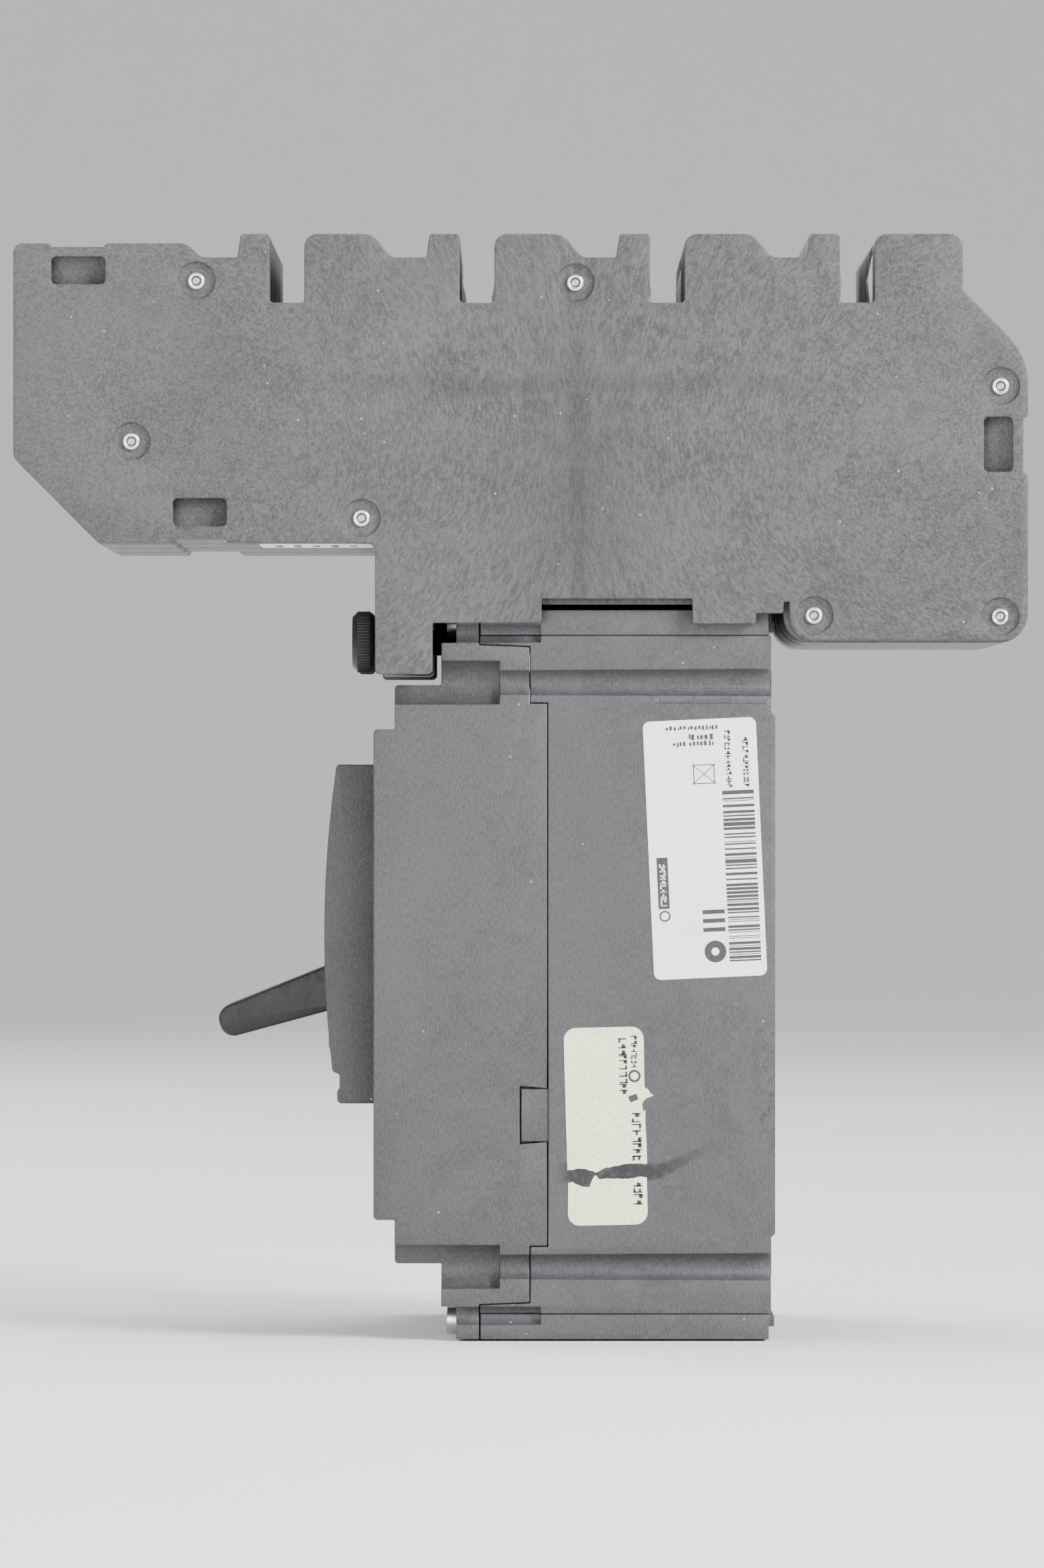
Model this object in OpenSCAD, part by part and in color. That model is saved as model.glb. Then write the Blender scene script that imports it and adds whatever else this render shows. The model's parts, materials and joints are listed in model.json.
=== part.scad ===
// Three-pole moulded-case circuit breaker with a plug-on busbar jaw housing on its line end.
// X runs across the poles, -Y is the front with the handle, +Z is the line end.
// The origin is the middle of the four fixing holes, on the mounting plane.
// Outlines seen from the side are drawn as [y, z] and extruded along X by across().

/* [Breaker body] */
// Width of the body across its poles
body_w = 105; // [104.6:0.1:105.2]
// Depth from the mounting plane to the cover's front face
cover_depth = 86; // [85.6:0.1:87]
// Distance from one pole to the next
pole_pitch = 35; // [34.9:0.1:35.1]
// Diameter of the fixing holes
fixing_d = 5.6; // [4.5:0.1:6]
// Distance between the fixing holes along the height
fixing_pitch = 125; // [124.6:0.1:125.2]

/* [Jaw housing] */
// Width of the jaw housing over its side plates
housing_w = 112; // [111.8:0.1:114]
// Distance from one busbar slot to the next
slot_pitch = 40.6; // [40.4:0.1:40.8]
// Width of a busbar slot
slot_w = 7.4; // [7.2:0.1:7.6]
// Depth of a busbar slot below the housing's crest
slot_depth = 14.7; // [14:0.1:15]
// Diameter of the flange of a tubular rivet
rivet_flange_d = 3.8; // [3.4:0.1:4.4]

/* [Handle] */
// Distance from the handle's pivot to its tip
handle_reach = 63.5; // [60:0.5:64]
// Width of the handle's grip
handle_w = 20; // [16:0.5:21]
// Angle of the handle below level when the breaker is off
handle_tilt = 18.5; // [16:0.5:18.5]

/* [Contacts] */
// Angle that the contact bridges turn between open and closed
contact_swing = 25; // [22:0.5:25]
// Gap between two jaw fingers with no busbar in them
jaw_gap = 5.6; // [5.4:0.1:6]

/* [Hidden] */
$fn = 48;

// Colours
housing_grey = [0.46, 0.47, 0.48];
base_grey = [0.40, 0.42, 0.45];
cover_grey = [0.42, 0.42, 0.42];
handle_brown = [0.30, 0.28, 0.26];
insulator_cream = [0.80, 0.76, 0.66];
steel = [0.70, 0.71, 0.73];
copper = [0.72, 0.45, 0.30];
silver = [0.82, 0.83, 0.84];

// Shared places. Poles run right, centre, left, which is +X to -X.
poles = [pole_pitch, 0, -pole_pitch];
half_w = body_w / 2;
clear = 0.3;        // between bodies that move past each other
seam = 0.2;         // between two fixed mouldings
running = 0.05;     // radial clearance of a running fit
face_z = 52.5;      // end of the cover's full-depth face
shoulder_z = 62;
shoulder_y = -81.5;
step_z = 71;
step_y = -71.5;
lip_y = -68.3;
end_z = 78;
cap_seam_z = 72.6;      // middle of the seam between the base and an end cap
cap_gap = 0.06;         // half the width of that seam
parting_y = -48.6;      // between cover and base, along the middle
parting_step_y = -52.4; // the same, beside the fixing grooves
parting_lip_y = -63.2;  // the same, at the ends
fixing_x = pole_pitch / 2;
fixing_z = fixing_pitch / 2;
cover_screw_z = 49;     // the cover's screws stand in line with the fixing holes
pole_half = 16.2;       // half the clear width inside a pole
wall = 2.6;
screw_z = 75;           // terminal and lug screws
handle_axis = [-60, 8.4];
rotor_axis = [-27, 5];

// ---- General shapes ----
module across(x0, x1) {
    translate([x0, 0, 0]) rotate([90, 0, 90]) linear_extrude(x1 - x0) children();
}
// A round bar along X, or along Y from front to back
module bar_x(x0, x1, at, r) {
    translate([x0, at.x, at.y]) rotate([0, 90, 0]) cylinder(h = x1 - x0, r = r);
}
module bar_y(y0, y1, x, z, r) {
    translate([x, y0, z]) rotate([-90, 0, 0]) cylinder(h = y1 - y0, r = r);
}
module box(low, high) {
    translate(low) cube(high - low);
}
module at_pole(x) {
    translate([x, 0, 0]) children();
}
module both_sides() {
    children();
    mirror([1, 0, 0]) children();
}
module both_ends() {
    children();
    mirror([0, 0, 1]) children();
}
// Turns its children by an angle about a line along X
module turned(angle, at) {
    translate([0, at.x, at.y]) rotate([angle, 0, 0]) translate([0, -at.x, -at.y]) children();
}

// An outline whose corners [y, z, radius] are rounded
corner_steps = 6;
function corner(a, b, c, r) =
    let (u = (a - b) / norm(a - b), v = (c - b) / norm(c - b),
         half = acos(u * v) / 2,
         middle = b + (u + v) / norm(u + v) * r / sin(half),
         from = b + u * r / tan(half) - middle,
         to = b + v * r / tan(half) - middle,
         start = atan2(from.y, from.x),
         turn = atan2(from.x * to.y - from.y * to.x, from * to))
    [for (i = [0:corner_steps])
        middle + r * [cos(start + turn * i / corner_steps), sin(start + turn * i / corner_steps)]];
function flat(p) = [p.x, p.y];
function rounded(points) =
    let (n = len(points))
    [for (i = [0:n - 1])
        each points[i].z > 0
            ? corner(flat(points[(i + n - 1) % n]), flat(points[i]), flat(points[(i + 1) % n]), points[i].z)
            : [flat(points[i])]];

// A band between two radii round a centre; angle 0 points to the front, positive is upwards
function on_ring(at, r, angle) = at + r * [-cos(angle), sin(angle)];
function ring_band(at, r0, r1, a0, a1, steps) = concat(
    [for (i = [0:steps]) on_ring(at, r1, a0 + (a1 - a0) * i / steps)],
    [for (i = [steps:-1:0]) on_ring(at, r0, a0 + (a1 - a0) * i / steps)]);

// ---- Jaw housing ----
crest_z = 158.3;
valley_z = 153.3;
slot_floor = crest_z - slot_depth;
first_slot = -104.4;
function slot_y(k) = first_slot + k * slot_pitch;
slots = [0:3];
half_slot = slot_w / 2;
side_t = 3.2;           // thickness of the two outer walls
rim_t = 2.2;            // thickness of the edge wall and the partitions
side_x = housing_w / 2;
plate_x = side_x - side_t;
shell_w = pole_pitch;

// Top edge from the front ear to the back shoulder, with the four busbar slots
crest = [
    [-162.9, 110.5, 3], [-162.9, 156.3, 2], [-155.2, 156.3, 0], [-154.5, 155.3, 0],
    [-143.7, 155.3, 0], [-143, 156.3, 0], [-126, 156.3, 4], [-122.7, valley_z, 2.5],
    [-115, valley_z, 0.6], [-114.3, crest_z, 0.8],
    for (k = slots) each [
        [slot_y(k) - half_slot, crest_z, 0.9],
        [slot_y(k) - half_slot, slot_floor, 0.8],
        [slot_y(k) + half_slot, slot_floor, 0.8],
        [slot_y(k) + half_slot, crest_z, 2.7],
        if (k < 3) each [
            [slot_y(k) + 18.2, crest_z, 4],
            [slot_y(k) + 22.3, valley_z, 2.5],
            [slot_y(k) + 29.8, valley_z, 0.6],
            [slot_y(k) + 30.4, crest_z, 0.8]
        ]
    ],
    [40, crest_z, 3], [40, 146.3, 0], [53.9, 132.2, 14],
    [53.9, 119.4, 0], [52.9, 118.8, 0], [52.9, 107.3, 0], [53.9, 106.7, 0]
];
front_chin = [[-85.6, 92.2, 1.5], [-117, 92.2, 0], [-117.6, 93.2, 0], [-128.6, 93.2, 0],
              [-129.2, 92.2, 0], [-144.7, 92.2, 0]];
// The outer walls reach down over the body's sides with two tabs and a leg
side_outline = rounded(concat(crest,
    [[53.9, 71.5, 5.5], [2.9, 71.5, 4.8], [2.9, 79.7, 0.3], [1.7, 79.7, 0], [1.7, 77.3, 0], [-4.2, 77.3, 0],
     [-4.2, 75, 0.6], [-17.8, 75, 0.6], [-17.8, 80.4, 0], [-50, 80.4, 0], [-50, 75.2, 0.6],
     [-73.3, 75.2, 0], [-73.3, 64.2, 1], [-85.6, 64.2, 1]],
    front_chin));
leg_z = 64.95;          // lowest edge of the inner shells' legs, clear of the fixing screws
// The inner shells stop above the body's end, with a bridge in front of it
inner_outline = rounded(concat(crest,
    [[53.9, 71, 5.9], [1.7, 71, 6], [1.7, 79.2, 0], [-72.2, 79.2, 0], [-74, 79.2, 0], [-74, leg_z, 1],
     [-85.6, leg_z, 1]],
    front_chin));
rivets = [[-123.8, 148.3], [-42.8, 147.9], [-137.7, 114], [-88.5, 97.6], [48.1, 125.8],
          [8.2, 76.8], [48, 76.6]];
// Snap windows as [y0, y1, z0, z1], and the way from each to the edge wall that its pad grows from
snaps = [[-154.8, -143.3, 147.6, 153.4], [-128.8, -117.4, 95.9, 101.8], [44.5, 50.6, 107.5, 119.2]];
snap_ways = [[0, 1.8], [0, -1.8], [1.4, 0]];
rivet_r = 1.5;
rivet_seat = 1;       // depth of the counterbore round a rivet's flange
jaw_slot = [3, 2, 1];   // the slot in which each pole has its jaw
jaw_half = 9.3;         // half the width of the opening round a jaw
knob_z = 71.7;
knob_x = pole_pitch / 2;
shank_r = 2.5;

module rivet_holes() {
    for (at = rivets) bar_x(-side_x - 1, side_x + 1, at, rivet_r + running);
}
module strap_ways() {
    for (x = poles) box([x - 8, -66.6, 78], [x + 8, -56, 82]);
    for (i = [0:2]) {
        y = slot_y(jaw_slot[i]);
        box([poles[i] - jaw_half, y - 6.6, 140], [poles[i] + jaw_half, y + 6.6, crest_z + 1]);
    }
}
module knob_ways() {
    both_sides() bar_y(-87, -73, knob_x, knob_z, shank_r + running);
}
// One shell: a partition at its left and an edge wall up to its right joint
module shell(x0, x1, partition) {
    difference() {
        union() {
            across(x0, x0 + partition) polygon(inner_outline);
            difference() {
                across(x0, x1) polygon(inner_outline);
                across(x0 - 1, x1 + 1) offset(delta = -rim_t) polygon(inner_outline);
            }
            for (at = rivets) intersection() {
                across(x0, x1) polygon(inner_outline);
                bar_x(x0, x1, at, 3.4);
            }
            intersection() {
                box([x0, -85.6, leg_z], [x1, -74, 80]);
                both_sides() bar_y(-85.6, -74, knob_x, knob_z, 5);
            }
        }
        rivet_holes();
        strap_ways();
        knob_ways();
    }
}
module housing_right_shell() color(housing_grey) {
    shell(shell_w / 2 + seam / 2, plate_x - seam, rim_t);
    for (i = [0:2]) {
        s = snaps[i];
        way = snap_ways[i];
        box([plate_x - 3, s[0] - 0.5 + min(way.x, 0), s[2] - 0.5 + min(way.y, 0)],
            [plate_x - seam, s[1] + 0.5 + max(way.x, 0), s[3] + 0.5 + max(way.y, 0)]);
    }
}
module housing_centre_shell() color(housing_grey)
    shell(-shell_w / 2 + seam / 2, shell_w / 2 - seam / 2, rim_t);
module housing_left_shell() color(housing_grey) {
    shell(-plate_x + seam, -shell_w / 2 - seam / 2, rim_t);
    difference() {
        across(-side_x, -plate_x) polygon(side_outline);
        rivet_holes();
        for (at = rivets) bar_x(-side_x - 1, -side_x + rivet_seat, at, 4);
    }
    // Three pads join the outer wall to the shell's partition
    for (y = [-140, -30, 20]) box([-plate_x - 0.1, y, 100], [-plate_x + 1, y + 8, 108]);
}
module housing_side_plate() color(housing_grey) difference() {
    across(plate_x, side_x) polygon(side_outline);
    rivet_holes();
    for (at = rivets) bar_x(side_x - rivet_seat, side_x + 1, at, 4);
    for (s = snaps) across(plate_x - 1, side_x + 1)
        polygon(rounded([[s[0], s[2], 1], [s[1], s[2], 1], [s[1], s[3], 1], [s[0], s[3], 1]]));
}
module housing_rivets() color(silver) for (at = rivets) difference() {
    union() {
        bar_x(-side_x + rivet_seat, side_x - rivet_seat, at, rivet_r);
        for (x = [-side_x + rivet_seat - 0.7, side_x - rivet_seat + 0.05])
            bar_x(x, x + 0.65, at, rivet_flange_d / 2);
    }
    bar_x(-side_x - 1, side_x + 1, at, 0.85);
}

// Captive screws that clamp the housing to the line end of the body
module securing_screw_right() securing_screw();
module securing_screw_left() mirror([1, 0, 0]) securing_screw();
module securing_screw() color([0.2, 0.2, 0.2]) difference() {
    union() {
        knob();
        bar_y(-86.5, -58, knob_x, knob_z, shank_r);
    }
    box([knob_x - 4.5, -92, knob_z - 0.8], [knob_x + 4.5, -89.6, knob_z + 0.8]);
}
knob_r = 6.65;
knob_ribs = 60;
module knob() translate([knob_x, -91.1, knob_z]) rotate([-90, 0, 0]) difference() {
    rotate_extrude() polygon([[0, 0], [knob_r - 1.2, 0], [knob_r, 1.2], [knob_r, 3.8],
                              [knob_r - 0.8, 4.8], [0, 4.8]]);
    for (i = [0:knob_ribs - 1]) rotate(i * 360 / knob_ribs)
        translate([knob_r + 0.1, 0, -1]) cylinder(h = 7, r = 0.32, $fn = 4);
}

// ---- Straps and jaws ----
strap_half = 6.5;       // half width of a strap
strap_t = 4;
strap_y = -62.2;        // front face of the strap at its terminal
run_z = 95;             // underside of the strap's level run
root_z = 118;           // height of the jaw fingers' pivots
pivot_gap = 4.55;       // from the middle of a jaw to a finger's pivot
finger_t = 2.2;
finger_half = 6.7;
cheek_x = 7.1;          // inner face of a cage's cheeks
jaw_pin_r = 1;

module line_straps() color(silver) for (i = [0:2]) at_pole(poles[i]) {
    y = slot_y(jaw_slot[i]);
    difference() {
        union() {
            box([-strap_half, strap_y, 64], [strap_half, strap_y + strap_t, run_z + strap_t]);
            box([-strap_half, min(strap_y, y - 2), run_z],
                [strap_half, max(strap_y + strap_t, y + 2), run_z + strap_t]);
            box([-strap_half, y - 2, run_z], [strap_half, y + 2, 124]);
        }
        bar_y(strap_y - 1, strap_y + strap_t + 1, 0, screw_z, 2.2);
    }
}
// Runs its children once for each jaw, placed at its slot
module at_jaws() {
    for (i = [0:2]) translate([poles[i], slot_y(jaw_slot[i]), 0]) children();
}
module jaw_cages() color(steel) at_jaws() difference() {
    union() {
        both_sides() box([cheek_x, -7.2, 106], [cheek_x + 1.2, 7.2, 121]);
        box([-cheek_x - 1.2, -7.2, 106], [cheek_x + 1.2, 7.2, 107.4]);
    }
    box([-strap_half - 0.3, -2.3, 105], [strap_half + 0.3, 2.3, 108]);
    for (s = [-1, 1]) bar_x(-10, 10, [s * pivot_gap, root_z], jaw_pin_r + running);
}
module jaw_pins() color(steel) at_jaws() for (s = [-1, 1])
    bar_x(-cheek_x - 1.6, cheek_x + 1.6, [s * pivot_gap, root_z], jaw_pin_r);
module jaw_springs() color(steel) at_jaws() for (s = [-1, 1]) mirror([0, s < 0 ? 1 : 0, 0])
    across(-4, 4) polygon([[7.3, 106.2], [7.3, 121], [8.0, 138], [6.9, 143], [7.5, 143.4],
                           [8.6, 138], [7.9, 121], [7.9, 105.2], [2.6, 105.2], [2.6, 105.8],
                           [7.3, 105.8]]);
module jaw_finger(i, side) {
    inner = jaw_gap / 2;
    color(silver) translate([poles[i], slot_y(jaw_slot[i]), 0])
        mirror([0, side < 0 ? 1 : 0, 0]) difference() {
            union() {
                across(-finger_half, finger_half) polygon(rounded([
                    [2.35, 110, 0.5], [2.35, 126, 0], [3.4, 130, 3], [3.4, 143, 4],
                    [inner, 149, 2], [inner + 1.5, 155.5, 0.6], [inner + 3.5, 155.5, 0.6],
                    [inner + finger_t, 149, 3], [3.4 + finger_t, 143, 4], [3.4 + finger_t, 129, 3],
                    [2.35 + finger_t, 125, 0], [2.35 + finger_t, 110, 0.5]]));
                bar_x(-finger_half, finger_half, [pivot_gap, root_z], 2.15);
            }
            bar_x(-10, 10, [pivot_gap, root_z], jaw_pin_r + running);
            box([-10, -1, 109], [10, 2.35, 127]);
        }
}
module jaw_finger_right_front() jaw_finger(0, -1);
module jaw_finger_right_back() jaw_finger(0, 1);
module jaw_finger_centre_front() jaw_finger(1, -1);
module jaw_finger_centre_back() jaw_finger(1, 1);
module jaw_finger_left_front() jaw_finger(2, -1);
module jaw_finger_left_back() jaw_finger(2, 1);

// ---- Body mouldings ----
groove_r = 2.55;        // half-round fixing groove in the body's sides, at its front
groove_back_r = 2.9;    // the same at the back
groove_wall = 1.4;
boss_r = 4.3;           // boss round a fixing hole
recess_r = 4.65;        // screwdriver way in front of a fixing screw
recess_y = -59;
lug_z = [-77.8, -61];
lug_half = 7.5;
window_half = 8;        // half width of a conductor's way through the ends

notch_y = -54.7;        // the cover's snap notches on the parting line
notch_z = [-36.3, -23.8];

module half_turned_pair(points) {
    polygon(concat(points, [for (i = [len(points) - 1:-1:0]) [points[i].x, -points[i].y]]));
}
// Ways cut through the cover and base alike
module fixing_ways() {
    both_ends() both_sides() {
        bar_y(-100, recess_y, fixing_x, fixing_z, recess_r);
        bar_y(-60, 1, fixing_x, fixing_z, fixing_d / 2);
        bar_y(-100, recess_y, half_w, fixing_z, recess_r);
        translate([half_w, -60, fixing_z]) rotate([-90, 0, 0])
            cylinder(h = 61, r1 = groove_r, r2 = groove_back_r);
        bar_y(lip_y - 1, -50.2, half_w, 73, 1.9);
    }
}
module securing_holes(r) {
    both_sides() bar_y(-80, -57.5, knob_x, knob_z, r);
}
// Ways for the conductors through the ends: strap pads at the line end, lugs at the load end
module end_ways() {
    for (x = poles) {
        box([x - window_half, -64.2, cap_seam_z - 3], [x + window_half, -54.5, end_z + 1]);
        bar_y(-80, -62, x, screw_z, 3.2);
        box([x - window_half, -50.6, -end_z - 1], [x + window_half, -25.4, -cap_seam_z + 3]);
        bar_y(-80, -43, x, -screw_z, 3.2);
        box([x - 3.2, -80, -end_z - 1], [x + 3.2, -50, -screw_z]);
        box([x - 3.2, -80, screw_z], [x + 3.2, -62, end_z + 1]);
    }
}

module cover() color(cover_grey) difference() {
    union() {
        difference() {
            across(-half_w, half_w) half_turned_pair([
                [-cover_depth, 0], [-cover_depth, face_z - 0.6], [-cover_depth + 0.6, face_z],
                [shoulder_y, face_z], [shoulder_y, shoulder_z - 0.5],
                [shoulder_y + 0.5, shoulder_z], [step_y, shoulder_z], [step_y, step_z],
                [lip_y, step_z], [lip_y, end_z], [parting_lip_y - seam, end_z],
                [parting_lip_y - seam, 70.5], [parting_step_y - seam, 70.1],
                [parting_step_y - seam, 58], [parting_y - seam, 58], [parting_y - seam, 0]]);
            box([-half_w + wall, -cover_depth + wall, -face_z + wall],
                [half_w - wall, -40, face_z - wall]);
            box([-half_w + wall, shoulder_y + wall, -57], [half_w - wall, -40, 57]);
            for (x = poles) box([x - window_half, -64.2, -70.6], [x + window_half, -40, 70.6]);
        }
        // Walls round the cover screws
        both_ends() both_sides() bar_y(-cover_depth + 1, parting_y - seam, fixing_x, cover_screw_z, 3);
    }
    fixing_ways();
    end_ways();
    securing_holes(shank_r + 0.3);
    box([-nose_in_x - seam, -90, nose_z.x + 2], [nose_in_x + seam, -80, nose_z.y - 2]);
    bar_y(-90, -80, dial_at.x, dial_at.y, dial_r + clear);
    both_ends() both_sides() {
        bar_y(-90, -cover_depth + 3.2, fixing_x, cover_screw_z, cover_screw_head_r + 0.1);
        bar_y(-90, -40, fixing_x, cover_screw_z, 1.6);
    }
    // A snap notch on the parting line
    both_sides() across(half_w - 1.6, half_w + 1)
        polygon([[notch_y, notch_z.y], [notch_y, notch_z.x],
                 [parting_y + 0.5, notch_z.x + 0.6], [parting_y + 0.5, notch_z.y - 0.6]]);
}
cover_screw_head_r = 2.85;
module cover_screws() color(steel) both_ends() both_sides() difference() {
    union() {
        bar_y(-cover_depth + 1, -cover_depth + 3.1, fixing_x, cover_screw_z, cover_screw_head_r);
        bar_y(-cover_depth + 3, -30, fixing_x, cover_screw_z, 1.5);
    }
    // A cross in the head
    translate([fixing_x, -cover_depth, cover_screw_z]) for (arm = [[0.5, 2], [2, 0.5]])
        box([-arm.x, 0, -arm.y], [arm.x, 2.2, arm.y]);
}

// The raised nose round the handle
nose_z = [-28.3, 45];
nose_half = 31;
nose_in_x = 27;
nose_t = 2.5;
nose_y = -97;
nose_r = 250;
function nose_face(z, inset) =
    nose_y + inset + nose_r - sqrt(nose_r * nose_r - (z - handle_axis.y) * (z - handle_axis.y));
handle_slot = 19.5;     // half length of the handle's slot
module nose() color(cover_grey) difference() {
    union() {
        across(-nose_half, nose_half) polygon(concat(
            [[-cover_depth - 0.1, nose_z.x], [-93.6, nose_z.x], [-94.2, nose_z.x + 0.6],
             [-94.2, -25.5], [-93.7, -25.2], [-93.7, -22], [nose_face(-21.4, 0), -21.4]],
            [for (z = [-16:6:38]) [nose_face(z, 0), z]],
            [[nose_face(43.8, 0), 43.8], [-94.4, 43.9], [-94.4, nose_z.y - 0.5],
             [-94, nose_z.y], [-cover_depth - 0.1, nose_z.y]]));
        box([-nose_in_x, -cover_depth - 0.2, nose_z.x + 2.2], [nose_in_x, -84.6, nose_z.y - 2.2]);
    }
    across(-nose_in_x + 1.4, nose_in_x - 1.4) polygon(concat(
        [[-80, nose_z.x + 3.6], [-91.6, nose_z.x + 3.6]],
        [for (z = [-20:6:40]) [nose_face(z, nose_t), z]],
        [[-80, nose_z.y - 3.6]]));
    box([-handle_w / 2 - 0.6, -100, handle_axis.y - handle_slot],
        [handle_w / 2 + 0.6, -80, handle_axis.y + handle_slot]);
    bar_y(-100, -80, button_at.x, button_at.y, button_r + running);
}

base_outline = [[0, 0], [0, 55.4], [-0.9, 56.2], [-0.9, cap_seam_z - cap_gap],
                [parting_lip_y, cap_seam_z - cap_gap], [parting_lip_y, 70.7], [parting_step_y, 70.3],
                [parting_step_y, 58.2], [parting_y, 58.2], [parting_y, 0]];
module base() color(base_grey) difference() {
    union() {
        difference() {
            across(-half_w, half_w) half_turned_pair(base_outline);
            for (x = poles) box([x - pole_half, -70, -70], [x + pole_half, -3, 70]);
            // The rotor lies in slots across the barriers
            box([-45, -70, rotor_axis.y - bearing_r], [45, rotor_axis.x, rotor_axis.y + bearing_r]);
            bar_x(-45, 45, rotor_axis, bearing_r);
        }
        both_ends() both_sides() {
            bar_y(parting_step_y, 0, fixing_x, fixing_z, boss_r);
            bar_y(parting_y, -1, fixing_x, cover_screw_z, 3);
        }
        both_sides() bar_y(parting_step_y, -30, knob_x, 66.5, 4);
        // Tongues that fill the cover's snap notches
        both_sides() box([half_w - 1.3, notch_y + clear, notch_z.x + 2 * clear],
                         [half_w - 0.1, parting_y + 0.5, notch_z.y - 2 * clear]);
        // Baffle inside the centre pole, behind the load end's parting line
        box([-7.5, parting_step_y - 1, -70.5], [7.5, parting_step_y + 1, -58.4]);
        // Walls behind the grooves
        both_ends() both_sides() intersection() {
            bar_y(parting_step_y, -0.9, half_w, fixing_z, groove_back_r + groove_wall);
            box([0, -60, 0], [half_w, 0, end_z]);
        }
    }
    fixing_ways();
    end_ways();
    both_ends() both_sides() bar_y(-60, -29, fixing_x, cover_screw_z, 1.55);
    securing_holes(shank_r + running);
    // A shallow prising recess under the line end's grooves
    both_sides() across(half_w - 0.35, half_w + 1)
        polygon(rounded([[-26.8, 60.5, 0], [-24.9, 58.1, 2], [-2.1, 58.1, 0], [0.6, 55.5, 0],
                         [0.6, 60.5, 0]]));
}
module end_cap(sign) {
    tabs = [-44, -9, 26];
    difference() {
        union() {
            box([-half_w, parting_lip_y + 0.1, cap_seam_z + cap_gap], [half_w, -1.4, end_z]);
            for (x = tabs) box([x, -2, 73.3], [x + 18, 0, 75.7]);
        }
        if (sign > 0) end_ways();
        else mirror([0, 0, 1]) end_ways();
        both_sides() bar_y(lip_y - 1, -50.2, half_w, 73, 1.9);
        securing_holes(shank_r + running);
    }
}
module line_end_cap() color(base_grey) end_cap(1);
module load_end_cap() color(base_grey) mirror([0, 0, 1]) end_cap(-1);

// ---- Terminals ----
wire_y = -34.5;
wire_r = 6;
wire_depth = 13;
module terminal_screws() color(silver) for (x = poles) at_pole(x) difference() {
    union() {
        bar_y(-70.5, strap_y - 0.05, 0, screw_z, 2.9);
        bar_y(strap_y - 1, -54.8, 0, screw_z, 2);
    }
    translate([0, -71, screw_z]) rotate([-90, 0, 0]) cylinder(h = 3.5, r = 1.7, $fn = 6);
}
module load_lugs() color(silver) for (x = poles) at_pole(x) difference() {
    box([-lug_half, -50, lug_z.x], [lug_half, -26, lug_z.y]);
    translate([0, wire_y, lug_z.x - 1]) cylinder(h = wire_depth + 1, r = wire_r);
    bar_y(-51, wire_y, 0, -screw_z, 2 + running);
}
module lug_screws() color([0.35, 0.35, 0.36]) for (x = poles) at_pole(x) difference() {
    union() {
        bar_y(-70.5, -50.4, 0, -screw_z, 2.9);
        bar_y(-51, -43.5, 0, -screw_z, 2);
    }
    translate([0, -71, -screw_z]) rotate([-90, 0, 0]) cylinder(h = 3.5, r = 1.7, $fn = 6);
}

// ---- Labels on the right side of the base ----
label_t = 0.15;
module label(size, radius, centre, turn) {
    translate([half_w + 0.01, centre.x, centre.y]) rotate([turn, 0, 0]) across(0, label_t)
        polygon(rounded([[-size.x / 2, -size.y / 2, radius], [size.x / 2, -size.y / 2, radius],
                         [size.x / 2, size.y / 2, radius], [-size.x / 2, size.y / 2, radius]]));
}
module large_label() color([0.92, 0.92, 0.90]) label([24.2, 55.3], 1.5, [-15.05, 27], 2.6);
module small_label() color([0.86, 0.87, 0.76]) label([17.1, 42.3], 2.6, [-36.3, -32.4], 1.3);

// ---- Handle and mechanism. Each pair of plates has its own lane in X ----
plate_lane = [14, 15.4];
yoke_lane = [12.2, 13.6];
cradle_lane = [10.4, 11.8];
upper_lane = [8.6, 10];
lower_lane = [6.8, 8.2];
shield = [31, 33];      // radii of the handle's curved shield
shield_half = 46;       // degrees
pivot_r = 2.5;
anchor_r = 24;          // from the handle's pivot to the springs' cross pin
off_angle = -handle_tilt;
cradle_axis = [-65, 27];
cradle_pin_r = 2;
anchor = [-54, -16];    // where the upper links hang on the cradle
anchor_pin_r = 1.5;
toggle_play = 1.5;      // the toggle's open joint has room for the pin's path

module lane(range) {
    both_sides() across(range.x, range.y) children();
}
// A straight flat link with a round eye at each end
module link(a, b, eye_a, eye_b, hole_a, hole_b) {
    side = [-(b - a).y, (b - a).x] / norm(b - a);
    difference() {
        union() {
            polygon([a + side * eye_a, b + side * eye_b, b - side * eye_b, a - side * eye_a]);
            translate(a) circle(eye_a);
            translate(b) circle(eye_b);
        }
        translate(a) circle(hole_a);
        translate(b) circle(hole_b);
    }
}
module handle() color(handle_brown) turned(-off_angle, handle_axis) {
    reach = handle_axis.x - handle_reach;
    across(-handle_w / 2, handle_w / 2) polygon(rounded([
        [handle_axis.x - shield.x - 1, handle_axis.y - 5.2, 0],
        [handle_axis.x - 36, handle_axis.y - 4.9, 1],
        [reach, handle_axis.y - 3.3, 3.1], [reach, handle_axis.y + 3.3, 3.1],
        [handle_axis.x - 36, handle_axis.y + 4.9, 1],
        [handle_axis.x - shield.x - 1, handle_axis.y + 5.2, 0]]));
    across(-13, 13) polygon(ring_band(handle_axis, shield.x, shield.y, -shield_half, shield_half, 24));
}
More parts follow.
